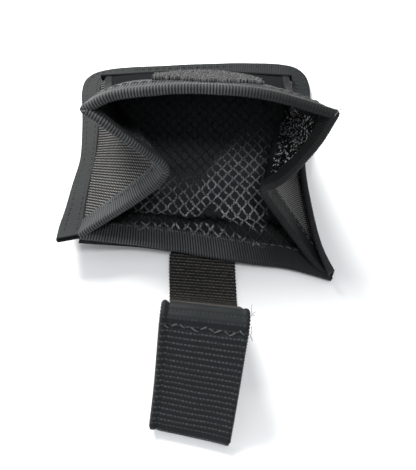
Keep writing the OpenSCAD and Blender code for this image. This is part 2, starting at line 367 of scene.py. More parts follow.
def net_lines(surface, width, length, seed, cell=(4.7, 5.8), rise=0.35, thick=0.2, step=0.5,
              spread=0.3, keep=(0, 1, 0, 1)):
    """Strands of a knitted diamond net, swinging from side to side so that neighbours meet."""
    rng = np.random.default_rng(seed)
    lines = []
    y = np.arange(keep[2] * length, keep[3] * length, step)
    swing = 2 / np.pi * np.arcsin(0.92 * np.cos(2 * np.pi * y / cell[1]))
    for k in range(int(width * 2 / cell[0]) + 1):
        x = (k + 0.5) * cell[0] / 2 + (-1) ** k * (cell[0] / 4 + 0.02) * swing
        x = x + 0.12 * np.sin(y * 2 * np.pi / 1.9 + k)
        inside = (x / width > keep[0] + 0.004) & (x / width < keep[1] - 0.004)
        groups = np.split(np.arange(len(y)), np.flatnonzero(np.diff(inside.astype(int))) + 1)
        for group in groups:
            if len(group) < 4 or not inside[group[0]]:
                continue
            u, v = x[group] / width, y[group] / length
            p, n = surface(u, v), normals(surface, u, v, 0.01)
            side = unit(np.cross(n, unit(np.gradient(p, axis=0))))
            turn = y[group] * 2 * np.pi / 2.4 + rng.uniform(0, 6)
            for half in (0, np.pi):
                height = rise + 0.12 * np.sin(turn + half) + 0.06 * rng.random(len(group))
                sway = spread * np.cos(turn + half)
                lines.append((p + (n * height[:, None] + side * sway[:, None]) * MM, n,
                              thick * (0.85 + 0.3 * rng.random(len(group))), thick * 0.8))
    return lines


# ---------------------------------------------------------------- materials
def base_material(name, colour, roughness=0.6, sheen=0.0, specular=0.15):
    material = bpy.data.materials.new(name)
    material.use_nodes = True
    shader = material.node_tree.nodes["Principled BSDF"]
    shader.inputs["Base Color"].default_value = (*colour, 1)
    shader.inputs["Roughness"].default_value = roughness
    shader.inputs["Specular IOR Level"].default_value = specular
    shader.inputs["Sheen Weight"].default_value = sheen
    shader.inputs["Sheen Roughness"].default_value = 0.5
    return material


class Nodes:
    """Short names for building a material's nodes."""

    def __init__(self, material):
        self.tree = material.node_tree
        self.shader = self.tree.nodes["Principled BSDF"]

    def add(self, kind, inputs=None, **settings):
        node = self.tree.nodes.new(kind)
        for key, value in settings.items():
            setattr(node, key, value)
        for key, value in (inputs or {}).items():
            if isinstance(value, bpy.types.NodeSocket):
                self.tree.links.new(value, node.inputs[key])
            else:
                node.inputs[key].default_value = value
        return node

    def math(self, operation, a, b=0.0):
        return self.add("ShaderNodeMath", {0: a, 1: b}, operation=operation).outputs[0]

    def uv(self):
        uv = self.add("ShaderNodeUVMap", uv_map="cloth").outputs[0]
        split = self.add("ShaderNodeSeparateXYZ", {0: uv})
        return uv, split.outputs[0], split.outputs[1]

    def wave(self, value, pitch):
        """0 to 1 and back over each pitch."""
        turn = self.math("COSINE", self.math("MULTIPLY", value, 2 * math.pi / pitch))
        return self.math("SUBTRACT", 0.5, self.math("MULTIPLY", turn, 0.5))

    def noise(self, uv, scale, detail=3.0, stretch=(1, 1)):
        place = self.add("ShaderNodeMapping", {0: uv, "Scale": (scale * stretch[0], scale * stretch[1], 1)})
        return self.add("ShaderNodeTexNoise", {"Vector": place.outputs[0], "Scale": 1.0,
                                               "Detail": detail}).outputs[0]

    def ramp(self, value, low, high, dark, light):
        share = self.add("ShaderNodeMapRange", {0: value, 1: low, 2: high}).outputs[0]
        return self.add("ShaderNodeMix", {0: share, 6: (*dark, 1), 7: (*light, 1)},
                        data_type="RGBA").outputs[2]

    def bump(self, height, strength, distance):
        node = self.add("ShaderNodeBump", {"Strength": strength, "Distance": distance, "Height": height})
        self.tree.links.new(node.outputs[0], self.shader.inputs["Normal"])

    def to(self, socket, name):
        self.tree.links.new(socket, self.shader.inputs[name])


YARN = 0.85                     # mm between the nylon's yarns
WEB_ROW, TAB_ROW = 1.45, 2.05   # mm between the ribs of the webbing and of the tab's tape


def weave_material(name, dark, light, pitch, roughness=0.55, depth=0.25, sheen=0.02, shade=None,
                   specular=0.1):
    """Plain weave in mm of cloth: yarns that pass over and under each other. From shade mm on the
    colour is darkened, to stand for the photo's light. It isn't the cloth's own."""
    material = base_material(name, dark, roughness, sheen, specular)
    n = Nodes(material)
    uv, x, y = n.uv()
    sx = n.math("SINE", n.math("MULTIPLY", x, math.pi / pitch))
    sy = n.math("SINE", n.math("MULTIPLY", y, math.pi / pitch))
    ax, ay = n.math("ABSOLUTE", sx), n.math("ABSOLUTE", sy)
    over = n.math("GREATER_THAN", n.math("MULTIPLY", sx, sy), 0.0)
    warp = n.math("MULTIPLY", over, n.math("POWER", ay, 0.5))
    weft = n.math("MULTIPLY", n.math("SUBTRACT", 1.0, over), n.math("POWER", ax, 0.5))
    bulge = n.math("POWER", n.math("MULTIPLY", ax, ay), 0.35)
    yarn = n.math("MULTIPLY", n.math("ADD", warp, n.math("MULTIPLY", weft, 0.12)), bulge)
    patchy = n.noise(uv, 0.16)
    value = n.math("MULTIPLY", n.math("POWER", yarn, 1.6),
                   n.math("ADD", 0.8, n.math("MULTIPLY", patchy, 0.4)))
    colour = n.ramp(value, 0.1, 1.0, dark, light)
    # Painted shade: from shade mm on, the colour darkens to near black over 30 mm.
    if shade:
        painted_shade_share = n.add("ShaderNodeMapRange", {0: y, 1: shade, 2: shade + 30}).outputs[0]
        colour = n.add("ShaderNodeMix", {0: painted_shade_share, 6: colour, 7: (0.014, 0.0145, 0.0155, 1)},
                       data_type="RGBA").outputs[2]
    n.to(colour, "Base Color")
    n.bump(yarn, 0.9, depth * MM)
    return material


def ribbed_material(name, dark, light, roughness=0.5, painted_right_shade=1.0):
    """Ribs across the cloth's x, brighter on their tops, with fine uneven fibres. The last argument is how
    bright the right side is beside the left: a painted shade, not the cloth's own."""
    material = base_material(name, dark, roughness, sheen=0.02)
    n = Nodes(material)
    uv, x, _ = n.uv()
    fibres = n.noise(uv, 1.0, 4.0, (3, 0.6))
    patchy = n.noise(uv, 0.12)
    top = n.math("MULTIPLY", n.wave(x, RIB_PITCH), n.math("ADD", 0.45, n.math("MULTIPLY", fibres, 0.8)))
    value = n.math("MULTIPLY", top, n.math("ADD", 0.6, n.math("MULTIPLY", patchy, 0.8)))
    place = n.add("ShaderNodeTexCoord").outputs["Object"]
    across = n.add("ShaderNodeSeparateXYZ", {0: place}).outputs[0]
    # Painted shade: the colour darkens to the right, from x = 8 to 32 mm, down to the given share.
    painted_side_shade = n.add("ShaderNodeMapRange", {0: across, 1: 0.008, 2: 0.032, 3: 1.0, 4: painted_right_shade}).outputs[0]
    n.to(n.ramp(n.math("MULTIPLY", value, painted_side_shade), 0.1, 0.95, dark, light), "Base Color")
    n.bump(fibres, 0.5, 0.08 * MM)
    return material


def dotted_material(name, dark, light, row, dot, roughness=0.6, plain=0.0, sharp=4.0,
                    gaps=1.0):
    """Rows of small raised weft floats along the cloth's y, each a short bright dash. The first
    plain mm of the cloth, a hem, has few of them."""
    material = base_material(name, dark, roughness, 0.01)
    n = Nodes(material)
    uv, x, y = n.uv()
    odd = n.math("FLOOR", n.math("DIVIDE", y, row))
    shift = n.math("MULTIPLY", n.math("MODULO", odd, 2.0), dot * 0.5)
    dash = n.math("POWER", n.wave(n.math("ADD", x, shift), dot), 0.8)
    line = n.math("POWER", n.wave(y, row), sharp)
    uneven = n.noise(uv, 0.8, 3.0)
    broken = n.math("ADD", 1.0 - gaps, n.math("MULTIPLY", dash, gaps))
    value = n.math("MULTIPLY", n.math("MULTIPLY", broken, line),
                   n.math("MULTIPLY", n.math("POWER", uneven, 2.0), 3.0))
    if plain:
        share = n.add("ShaderNodeMapRange", {0: y, 1: plain, 2: plain + 4, 3: 0.25, 4: 1.0}).outputs[0]
        value = n.math("MULTIPLY", value, share)
    fibres = n.noise(uv, 3.0, 3.0, (0.5, 2))
    n.to(n.ramp(n.math("ADD", value, n.math("MULTIPLY", fibres, 0.12)), 0.05, 0.9, dark, light),
         "Base Color")
    n.bump(n.math("ADD", value, n.math("MULTIPLY", fibres, 0.2)), 0.7, 0.12 * MM)
    return material


def pile_material(name, dark, light, scale, roughness, depth, sheen, far_painted_light=None):
    """Curled or brushed fibres. The last argument, when given, is a lighter colour painted on the part far
    from the mouth: painted light in the shaded inside.
    """
    material = base_material(name, dark, roughness, sheen)
    n = Nodes(material)
    uv, _, y = n.uv()
    curl = n.noise(uv, scale, 5.0)
    colour = n.ramp(curl, 0.42, 0.62, dark, light)
    # Painted light: from 14 to 75 mm along the cloth's y the colour turns to the given lighter one.
    if far_painted_light:
        share = n.add("ShaderNodeMapRange", {0: y, 1: 14.0, 2: 75.0}).outputs[0]
        colour = n.add("ShaderNodeMix", {0: share, 6: colour, 7: (*far_painted_light, 1)}, data_type="RGBA").outputs[2]
    n.to(colour, "Base Color")
    n.bump(curl, 1.0, depth * MM)
    return material


def speckled_material():
    """Knitted yarn drawn as bright specks on black, which stand for glints of light."""
    material = base_material("lining_speckle", (0.004, 0.004, 0.0045), 0.5, 0.0, 0.2)
    n = Nodes(material)
    place = n.add("ShaderNodeTexCoord").outputs["Object"]
    spots = n.add("ShaderNodeTexNoise", {"Vector": place, "Scale": 950.0, "Detail": 1.0}).outputs[0]
    n.to(n.ramp(spots, 0.575, 0.62, (0.003, 0.003, 0.0035), (0.7, 0.71, 0.73)), "Base Color")
    return material


def net_material():
    """Knitted yarn. Where it is bright is a mask given in mm, over the parts that are lit in
    the photo: a fan, its left side, and dark at the fold and the pucker. It stands for light that
    the lamps here don't give, and isn't the yarn's own colour."""
    material = base_material("lining_net", (0.03, 0.031, 0.032), 0.35, 0.0, 0.35)
    n = Nodes(material)
    place = n.add("ShaderNodeTexCoord").outputs["Object"]
    split = n.add("ShaderNodeSeparateXYZ", {0: place})
    x, y = (n.math("MULTIPLY", split.outputs[k], 1000.0) for k in (0, 1))

    def rising(value, low, high):
        return n.add("ShaderNodeMapRange", {0: value, 1: low, 2: high},
                     interpolation_type="SMOOTHSTEP").outputs[0]
    slant = n.math("SUBTRACT", x, n.math("MULTIPLY", y, 0.62))
    fan = n.math("MULTIPLY", rising(slant, -24.0, -17.0), rising(y, 74.0, 44.0))
    left = n.math("MULTIPLY", n.math("MULTIPLY", rising(x, -30.0, -20.0), rising(y, 46.0, 24.0)), 0.6)
    past_middle = n.math("MAXIMUM", n.math("SUBTRACT", x, 5.0), 0.0)
    fold_y = n.math("SUBTRACT", 18.3, n.math("MULTIPLY", past_middle, 0.37))
    off_fold = rising(n.math("ABSOLUTE", n.math("SUBTRACT", y, fold_y)), 1.4, 3.0)
    pucker = n.math("ADD", n.math("ABSOLUTE", n.math("SUBTRACT", x, 5.5)), n.math("SUBTRACT", y, 18.0))
    off_pucker = n.math("MAXIMUM", rising(pucker, 6.0, 9.5), rising(y, 18.0, 16.0))
    lit = n.math("MULTIPLY", n.math("MAXIMUM", fan, left), n.math("MULTIPLY", off_fold, off_pucker))
    lit = n.math("MULTIPLY", lit, rising(n.math("SUBTRACT", x, n.math("MULTIPLY", y, 0.12)), 27.5, 23.0))
    lit = n.math("MULTIPLY", lit, n.math("ADD", 0.45, n.math("MULTIPLY", rising(y, 12.0, 20.0), 0.55)))
    # The yarn's base colour is lighter far from the mouth: painted light in the shaded inside.
    base = n.ramp(y, 20.0, 75.0, (0.003, 0.0033, 0.0036), (0.055, 0.062, 0.065))
    fine = n.add("ShaderNodeTexNoise", {"Vector": place, "Scale": 1300.0, "Detail": 2.0}).outputs[0]
    glint = n.math("MULTIPLY", n.math("ADD", 0.25, rising(fine, 0.46, 0.6)), lit)
    colour = n.add("ShaderNodeMix", {0: glint, 6: base, 7: (0.42, 0.43, 0.44, 1)},
                   data_type="RGBA").outputs[2]
    n.to(colour, "Base Color")
    return material


# A lighter copy of black_nylon, for the right lower gusset: painted light.
NYLON_PAINTED_LIGHT = weave_material("nylon_painted_light", (0.03, 0.03, 0.029), (0.5, 0.49, 0.48), 0.7, 0.6, 0.2)
NYLON = weave_material("black_nylon", (0.003, 0.003, 0.0029), (0.34, 0.333, 0.326), YARN, 0.6, 0.35)
PANEL = weave_material("panel_nylon", (0.014, 0.0145, 0.0155), (0.03, 0.031, 0.033), 0.45, 0.7, 0.10, 0.0,
                       specular=0.0)
# Lighter than panel_nylon: a painted sheen. From 38 mm on it darkens: a painted shade.
FRONT_NYLON = weave_material("front_nylon", (0.07, 0.072, 0.076), (0.14, 0.144, 0.152), 0.45, 0.7, 0.10,
                             0.0, shade=38.0, specular=0.0)
# Its right side is darkened to 0.22 of the left: painted shade.
GROSGRAIN = ribbed_material("grosgrain", (0.009, 0.0094, 0.0098), (0.085, 0.0895, 0.0925), 0.62, painted_right_shade=0.22)
DARK_THREAD = base_material("seam_thread", (0.03, 0.0315, 0.033), 0.5)
WEB_THREAD = base_material("web_edge", (0.012, 0.0115, 0.011), 0.5)
SEAM_TAPE = ribbed_material("seam_tape", (0.009, 0.0104, 0.0112), (0.026, 0.0295, 0.031), 0.6)
WEBBING = dotted_material("webbing", (0.0015, 0.0014, 0.0013), (0.095, 0.088, 0.08), WEB_ROW, 1.5, 0.5,
                          sharp=3.0, gaps=0.6)
TAPE = dotted_material("tab_tape", (0.010, 0.012, 0.013), (0.075, 0.081, 0.084), TAB_ROW, 1.3, 0.6, 7.0,
                       sharp=7.0, gaps=0.85)
HOOK = pile_material("hook_tape", (0.008, 0.008, 0.008), (0.04, 0.04, 0.04), 2.0, 0.5, 0.3, 0.0)
LOOP = pile_material("loop_pile", (0.002, 0.002, 0.0023), (0.13, 0.13, 0.133), 1.6, 0.7, 0.5, 0.02)
THREAD = base_material("thread", (0.07, 0.074, 0.076), 0.4)
BRIGHT_THREAD = base_material("worn_thread", (0.20, 0.205, 0.21), 0.5)
TAB_THREAD = base_material("tab_thread", (0.07, 0.075, 0.078), 0.5)
# Lighter far from the mouth: painted light in the shaded inside.
LINING = pile_material("lining_back", (0.005, 0.0055, 0.006), (0.012, 0.013, 0.0135), 1.5, 0.8, 0.1, 0.0,
                       far_painted_light=(0.075, 0.084, 0.088))
# A darker copy of seam_tape, for the front panel's side seams: painted shade.
SIDE_TAPE = ribbed_material("side_tape", (0.004, 0.0045, 0.005), (0.010, 0.0112, 0.012), 0.7)
SPECKLE = speckled_material()
NET = net_material()

# ---------------------------------------------------------------- the pouch's edges, in mm
# nominal width and length of each cloth
BACK_SIZE, FRONT_SIZE, GUSSET_SIZE = (92, 97), (92, 90), (44, 88)
SEAM_TAPE_WIDTH = 9
TAB_WIDTH = 28.5

# The corners began as a rough fit to points read from the photo. They and the edges between them
# were then moved until they fell close to the photo's edges in the camera's view.
A_L, A_R = (-43.3, 6.3, 15.5), (52.3, -4.8, 2.2)           # mouth corners of the back panel
V_L, V_R = (-9.6, 19.8, 38.2), (25.3, 19.8, 27.4)         # mouth ends of the gusset folds
C_L, C_R = (-36.5, 30.0, 58.6), (48.0, 29.4, 57.2)         # mouth corners of the front panel
B_L, B_R = (-44.6, 97, 4), (44, 97, 4)                     # far corners, at the back panel
D_L, D_R = (-41.5, 94.4, 7.8), (41.5, 94.4, 7.8)           # far corners, at the front panel
E_L, E_R = (-42.5, 94, 6.6), (42.5, 94, 6.6)               # far ends of the gusset folds

BACK_RIM = Path([A_L, (-37.2, 6.8, 13.2), (-22, 7.2, 9), (-6, 5.6, 6), (8, 3.4, 4.6), (22, 1.6, 3.4),
                 (35, 0.2, 2.8), (46, -2.8, 2.5), A_R])
SEAM_L = Path([A_L, (-43.1, 13, 12), (-44, 24.1, 8), (-43.7, 43.4, 5), (-42.8, 57, 4),
               (-44, 80, 4), B_L])
SEAM_R = Path([A_R, (50.2, 3.9, 3), (48.2, 10.6, 3.5), (46.6, 22.8, 4), (45.7, 36.6, 4),
               (44.6, 60, 4), (44, 80, 4), B_R])
FAR_SEAM = Path([B_L, (0, 98, 4), B_R])
LOWER_L = Path([A_L, (-32.2, 11.5, 20.2), (-18.9, 15.4, 29.2), (-12.4, 17.7, 34.4), V_L])
UPPER_L = Path([V_L, (-10.7, 20.6, 41), (-14.4, 21.7, 44.2), (-21.4, 23.3, 50), (-26.6, 25, 53.8),
                (-31.4, 27, 57), C_L])
LOWER_R = Path([A_R, (47.4, -0.8, 5.2), (40.3, 6, 11.6), (31, 14.2, 20.8), (26.6, 18, 25), V_R])
UPPER_R = Path([V_R, (26.7, 19.6, 28.8), (30, 19.4, 31), (34.7, 20.5, 36), (39.1, 22.3, 42.6),
                (43.4, 24.6, 49), C_R])
FOLD_L = Path([V_L, (-21, 44, 29), (-33, 70, 17.5), E_L])
FOLD_R = Path([V_R, (31, 44, 21.5), (37, 70, 14), E_R])
FRONT_L = Path([C_L, (-35.9, 38.5, 51.5), (-35.7, 49, 40.5), (-36.8, 62, 28.5), (-38.8, 76, 17),
                (-40.6, 87, 10.4), D_L])
FRONT_R = Path([C_R, (44.2, 37.4, 49.8), (41.6, 45, 43), (39.6, 55, 34), (39.4, 66, 24.5),
                (40.2, 80, 13.8), D_R])
FRONT_RIM = Path([C_L, (-27, 33.4, 61.5), (-12, 34.9, 63), (4, 35.1, 63.3), (20, 34.1, 62.5),
                  (34, 32.3, 60.4), C_R])
FRONT_FAR = Path([D_L, (0, 97, 9), D_R])
END_LOW = Path([(-45, 97.6, 3.6), (0, 98.6, 3.6), (44.6, 97.6, 3.6)])
END_HIGH = Path([(-44.6, 95.6, 9.2), (0, 98, 9.6), (43.8, 95.6, 9.2)])


def through(flat, middle, fullness):
    """The flat surface, swollen so that its middle line follows another curve."""
    def surface(u, v):
        u, v = np.broadcast_arrays(np.asarray(u, float), np.asarray(v, float))
        share = np.maximum(1 - (2 * u - 1) ** 2, 0) ** fullness
        return flat(u, v) + share[..., None] * (middle(v) - flat(0.5, v))
    return surface


def BACK(u, v):
    """The back panel, padded: it curves down to its rim and its side seams."""
    u, v = np.broadcast_arrays(np.asarray(u, float), np.asarray(v, float))
    side_to_side = np.clip(4 * u * (1 - u), 0, 1) ** 1.3
    lift = 2.6 * (1 - np.exp(-v * BACK_SIZE[1] / 8)) * side_to_side * np.clip((1 - v) * 8, 0, 1)
    return BACK_FLAT(u, v) + (lift * MM)[..., None] * np.array((0, 0, 1))


def gusset(mouth, far, seam, fold, bulge, mouth_share=0.1):
    """Half a side gusset, which bulges between its seam and its fold, and a little at its mouth."""
    flat = coons(mouth, far, seam, fold)
    side = unit(np.cross(flat(0.9, 0.3) - flat(0.1, 0.3), flat(0.5, 0.6) - flat(0.5, 0.1)))

    def surface(u, v):
        u, v = np.broadcast_arrays(np.asarray(u, float), np.asarray(v, float))
        lift = bulge * np.sin(np.pi * np.clip(u, 0, 1)) * np.sin(
            np.pi * np.clip(v * (1 - mouth_share) + mouth_share, 0, 1))
        return flat(u, v) + (lift * MM)[..., None] * side
    return surface


def front_puff(u, v):
    """How far the front panel's padding swells beside the patch, behind the rim, in mm."""
    beside = np.clip(4 * u * (1 - u), 0, 1) ** 0.4 * (1 - hill(u, 0.5, 0.22))
    return 2.6 * beside * hill(v, 0.17, 0.13) * np.clip(v / 0.08, 0, 1)


FRONT_MIDDLE = Path([(5, 35.1, 63.2), (5, 41, 57.8), (4.5, 50, 50.6), (4, 60, 42.8), (3, 70, 33.4),
                     (2, 80, 23), (1, 89, 14.2), (0, 97, 9)])
FRONT = lifted(through(coons(FRONT_RIM, FRONT_FAR, FRONT_L, FRONT_R), FRONT_MIDDLE, 0.5), front_puff)
BACK_FLAT = coons(BACK_RIM, FAR_SEAM, SEAM_L, SEAM_R)
SMALL_L = Path([B_L, (-43.5, 95.4, 5.4), E_L])
SMALL_L2 = Path([E_L, (-42, 94.2, 7.2), D_L])
SMALL_R = Path([B_R, (43.2, 95.4, 5.4), E_R])
SMALL_R2 = Path([E_R, (42, 94.2, 7.2), D_R])
G_LOWER_L = gusset(LOWER_L, SMALL_L, SEAM_L, FOLD_L, 0.5)
G_UPPER_L = gusset(UPPER_L, SMALL_L2, FOLD_L, FRONT_L, 3.2, 0.0)
G_LOWER_R = gusset(LOWER_R, SMALL_R, SEAM_R, FOLD_R, 1.5)
G_UPPER_R = gusset(UPPER_R, SMALL_R2, FOLD_R, FRONT_R, -3.2, 0.0)
END = ruled(END_LOW, END_HIGH)

# outer edge of the bound seam and the seam itself, with matching points, left mouth to right mouth
FLANGE_OUT = Path([(-51.4, 4.8, 15), (-51.8, 12, 12.2), (-51.5, 19.7, 9.6), (-50.7, 35.5, 6),
                   (-49.3, 51.1, 4.2), (-50.1, 64, 3.2), (-51.7, 80, 3), (-53, 91.8, 3),
                   (-52, 98, 3), (-48.4, 101.7, 3.2), (-42.6, 103.4, 3.6), (-31.3, 104.6, 4),
                   (-12, 106, 4), (1.2, 106.9, 4), (25.1, 107.3, 4), (40, 106.4, 4),
                   (46.6, 104.6, 3.6), (50.3, 100.8, 3.2), (51.7, 96, 3), (51.7, 88, 3),
                   (50.3, 76, 4.5), (46.8, 60, 8.5), (44.2, 41, 11.2), (44.8, 26, 11.4),
                   (46.4, 10, 11.2), (48.8, 1, 10.4), (52, -5.2, 8.4)])
FLANGE_IN = Path([(-43.3, 6.3, 15.5), (-43.1, 13, 12), (-43.8, 20.5, 9.3), (-43.9, 36, 6),
                  (-43, 51.5, 4.4), (-43.2, 64, 4), (-43.9, 80, 4), (-44.4, 91, 4),
                  (-44.4, 95, 4), (-44, 97, 4), (-42, 97.4, 4), (-31, 97.5, 4),
                  (-12, 97.8, 4), (1, 98, 4), (24, 97.9, 4), (39, 97.5, 4),
                  (42.5, 97.3, 4), (43.6, 96.6, 4), (44, 94, 4), (44.1, 88, 4),
                  (44.1, 76, 4), (44.6, 60, 4), (45.3, 45, 4), (46.1, 30, 4),
                  (47.8, 14, 3.7), (50.2, 4.5, 3), (52.5, -4.4, 2.2)])


def bends(obj, body):
    """For the front, gusset, strap and tab bodies obj's transform is baked into its mesh; pieces of any other
    body are parented to an empty named after it.
    """
    if body == "front":
        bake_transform(obj)
    elif body.startswith("gusset_lower"):
        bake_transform(obj)
    elif body.startswith("gusset_upper"):
        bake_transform(obj)
    elif body == "strap":
        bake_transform(obj)
    elif body == "tab":
        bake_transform(obj)
    else:
        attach(obj, body)


def finish_piece(obj, body, slot, *nodes):
    bends(obj, body)
    if nodes:
        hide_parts(*nodes)


def back_folds(u, v):
    """Loose lining: full behind the rim, with a fold across it and a pucker in the middle."""
    width, length = BACK_SIZE
    x, y = u * width, v * length
    lift = 0.9 + 2.2 * hill(y, 30, 14) * (0.6 + 0.4 * crumple(x, y, 3, 22))
    lift = lift + 1.5 * hill(y, 14.5, 3.5) - 1.3 * hill(y, 18.5 + 0.05 * (x - width / 2), 2.2)
    lift = lift - 2.0 * hill(x, 42 + (y - 18) * 0.5, 2 + 0.16 * np.abs(y - 10)) * hill(y, 25, 14)
    at_sides = np.clip(np.minimum(x, width - x) / 18, 0.25, 1)
    return np.maximum(lift, 0.5) * np.clip(y / 8, 0.4, 1) * at_sides


def build_back():
    outer = sheet_mesh("back_padding", BACK, BACK_SIZE, PANEL, -3.4, -0.3, 1.6, floor=0.35,
                       axes=((1, 0, 0), (0, 1, 0)))
    finish_piece(outer, "back", "nylon", "back_panel", "back_foam")
    lining_surface = lifted(BACK, back_folds)
    lining = sheet_mesh("back_lining_cloth", lining_surface, BACK_SIZE, LINING, -0.7, 0.0, 1.0)
    finish_piece(lining, "back", "mesh", "back_lining")
    net = tube_mesh("back_lining_net", net_lines(lining_surface, *BACK_SIZE, 11,
                                                  keep=(0.04, 0.96, 0.06, 0.95)), NET, 5)
    finish_piece(net, "back", "mesh")
    face = along_rim(BACK, BACK_SIZE[1])
    rim = tape_mesh("back_rim_tape", face, BACK_RIM.length, 9.6, 0.9, GROSGRAIN, seed=3, wander=0.14)
    finish_piece(rim, "back", "grosgrain", "back_rim_binding")
    row = tube_mesh("back_rim_stitches", stitch_lines(face, 7.8, 1.4, BACK_RIM.length), THREAD)
    finish_piece(row, "back", "thread", "back_rim_thread")
    face = between(FLANGE_OUT, FLANGE_IN, SEAM_TAPE_WIDTH)
    filling = sheet_mesh("seam_filling", ruled(FLANGE_OUT, FLANGE_IN),
                         (SEAM_TAPE_WIDTH, FLANGE_OUT.length), NYLON, -0.5, 0.5, 1.4,
                         span=(0.04, 1, 0.002, 0.998))
    finish_piece(filling, "back", "nylon", "seam_allowance")
    flange = tape_mesh("seam_tape", face, FLANGE_OUT.length, SEAM_TAPE_WIDTH, 0.6, SEAM_TAPE, rib=0.06,
                       seed=4, wander=0.1)
    finish_piece(flange, "back", "grosgrain", "seam_binding")
    rows = (stitch_lines(face, 6.6, 1.1, FLANGE_OUT.length, radius=0.17, seed=8)
            + stitch_lines(face, 1.8, 1.1, FLANGE_OUT.length, radius=0.17, seed=9))
    finish_piece(tube_mesh("seam_stitches", rows, DARK_THREAD), "back", "thread", "seam_thread")
    end = sheet_mesh("end_cloth", END, (7, 90), PANEL, -0.4, 0.4, 0.8)
    finish_piece(end, "back", "nylon", "end_gusset")


def basket(x, y):
    """Relief of a coarse plain weave, in mm."""
    sx, sy = np.sin(np.pi * x / YARN), np.sin(np.pi * y / YARN)
    over = np.where(sx * sy > 0, np.abs(sy) ** 0.5, 0.2 * np.abs(sx) ** 0.5)
    return 0.24 * over * np.abs(sx * sy) ** 0.35


def tucked(face):
    """The face function of a tape that is gathered into the fold at its start."""
    def moved(s, a):
        return face(s, a * np.clip(0.3 + s * 2.2, 0, 0.85))
    return moved


def build_gussets():
    for side, lower, upper, mouth_low, mouth_up in (
            ("left", G_LOWER_L, G_UPPER_L, LOWER_L, UPPER_L),
            ("right", G_LOWER_R, G_UPPER_R, LOWER_R, UPPER_R)):
        for half, surface, mouth in (("lower", lower, mouth_low), ("upper", upper, mouth_up)):
            body = f"gusset_{half}_{side}"
            seed = len(body) + 3 * (side == "left")
            over = unit(surface(0.95, 0.3) - surface(0.05, 0.3))
            along = unit(np.cross(np.cross(over, surface(0.5, 0.7) - surface(0.5, 0.1)), over))
            inner_up = side == "right"
            sign = 1 if inner_up else -1
            # The right lower gusset takes the lighter copy of the nylon: painted light.
            cloth = sheet_mesh(f"{body}_cloth", lifted(surface, lambda u, v: -sign * (0.5 + 0 * u)),
                               GUSSET_SIZE, NYLON_PAINTED_LIGHT if body == "gusset_lower_right" else NYLON,
                               -0.35, 0.35, 0.33, axes=(over, along),
                               relief=basket if not inner_up else None)
            finish_piece(cloth, body, "nylon", body)
            inside = lifted(surface, lambda u, v: sign * (0.35 + 0 * u))
            lining = sheet_mesh(f"{body}_lining", inside, GUSSET_SIZE, LINING, -0.25, 0.25, 1.6)
            finish_piece(lining, body, "mesh", f"gusset_{half}_lining_{side}")
            face = along_rim(surface, GUSSET_SIZE[1])
            if body == "gusset_upper_right":
                face = tucked(face)
            tape = tape_mesh(f"{body}_tape", face, mouth.length, 9.3, 0.85, GROSGRAIN, seed=seed,
                             wander=0.12)
            finish_piece(tape, body, "grosgrain", f"gusset_{half}_binding_{side}")
            rows = stitch_lines(face, 7.0, -1.35 * sign, mouth.length, radius=0.2, seed=seed)
            finish_piece(tube_mesh(f"{body}_stitches", rows, THREAD), body, "thread")
            lines = net_lines(inside, *GUSSET_SIZE, seed, cell=(3.0, 3.4), rise=0.3 * sign, thick=0.17,
                              spread=0.25, keep=(0.07, 0.93, 0.09, 0.7))
            finish_piece(tube_mesh(f"{body}_net", lines, SPECKLE if body == "gusset_upper_right" else NET, 4),
                         body, "mesh")


def frayed_ends(at, seed):
    """A small tuft of loose fibres at a binding's end."""
    rng = np.random.default_rng(seed)
    lines = []
    for _ in range(9):
        way = unit(np.array([rng.uniform(-1, 1), rng.uniform(-0.6, 1), rng.uniform(-0.2, 1)]))
        curl = unit(rng.uniform(-1, 1, 3))
        t = np.linspace(0, 1, 7)[:, None]
        reach = rng.uniform(1.2, 2.8)
        p = (np.array(at) + rng.uniform(-1, 1, 3) + way * t * reach + curl * t * t * reach * 0.6) * MM
        lines.append((p, np.tile(unit(np.cross(way, curl)), (7, 1)), 0.09, 0.09))
    return lines


def build_front():
    outer = sheet_mesh("front_padding", FRONT, FRONT_SIZE, FRONT_NYLON, -0.9, 1.1, 1.2,
                       relief=lambda x, y: 0.25 * crumple(x, y, 6, 30) * np.clip(y / 12, 0, 1))
    finish_piece(outer, "front", "nylon", "front_panel", "front_foam")
    inside = lifted(FRONT, lambda u, v: -1.3 + 0 * u)
    lining = sheet_mesh("front_lining_cloth", inside, FRONT_SIZE, LINING, -0.3, 0.3, 1.8)
    finish_piece(lining, "front", "mesh", "front_lining")
    lines = net_lines(inside, *FRONT_SIZE, 21, rise=-0.4, keep=(0.01, 0.99, 0.09, 0.95), step=0.7)
    net = tube_mesh("front_lining_net", lines, NET, 4)
    finish_piece(net, "front", "mesh")
    face = along_rim(FRONT, FRONT_SIZE[1])
    rim = tape_mesh("front_rim_tape", face, FRONT_RIM.length, 9.3, 1.15, GROSGRAIN, seed=9, wander=0.12)
    finish_piece(rim, "front", "grosgrain", "front_rim_binding")
    row = tube_mesh("front_rim_stitches", stitch_lines(face, 7.3, 1.65, FRONT_RIM.length, radius=0.2),
                    THREAD)
    finish_piece(row, "front", "thread", "front_rim_thread")
    for side, name in ((0, "left"), (1, "right")):
        edge = FRONT_L if side == 0 else FRONT_R
        tape = tape_mesh(f"front_side_{name}", along_side(FRONT, FRONT_SIZE[0], side), edge.length, 2.4, 1.0,
                         SIDE_TAPE, rib=0.06, seed=30 + side)
        finish_piece(tape, "front", "grosgrain", f"front_seam_{name}")
    rng = np.random.default_rng(40)
    patch = sheet_mesh("loop_patch_pile", FRONT, (43, 36), LOOP, 0.9, 2.7, 0.33, (0.27, 0.73, 0.105, 0.5),
                       relief=lambda x, y: 0.35 * rng.random(x.shape) + 0.3 * crumple(x, y, 8, 4))
    finish_piece(patch, "front", "loop", "loop_patch")
    lines = frayed_ends((-37.5, 29.5, 59.5), 50)[:4] + frayed_ends((49, 29.5, 58), 51)[:7]
    finish_piece(tube_mesh("frayed_ends", lines, BRIGHT_THREAD, 4), "front", "thread")


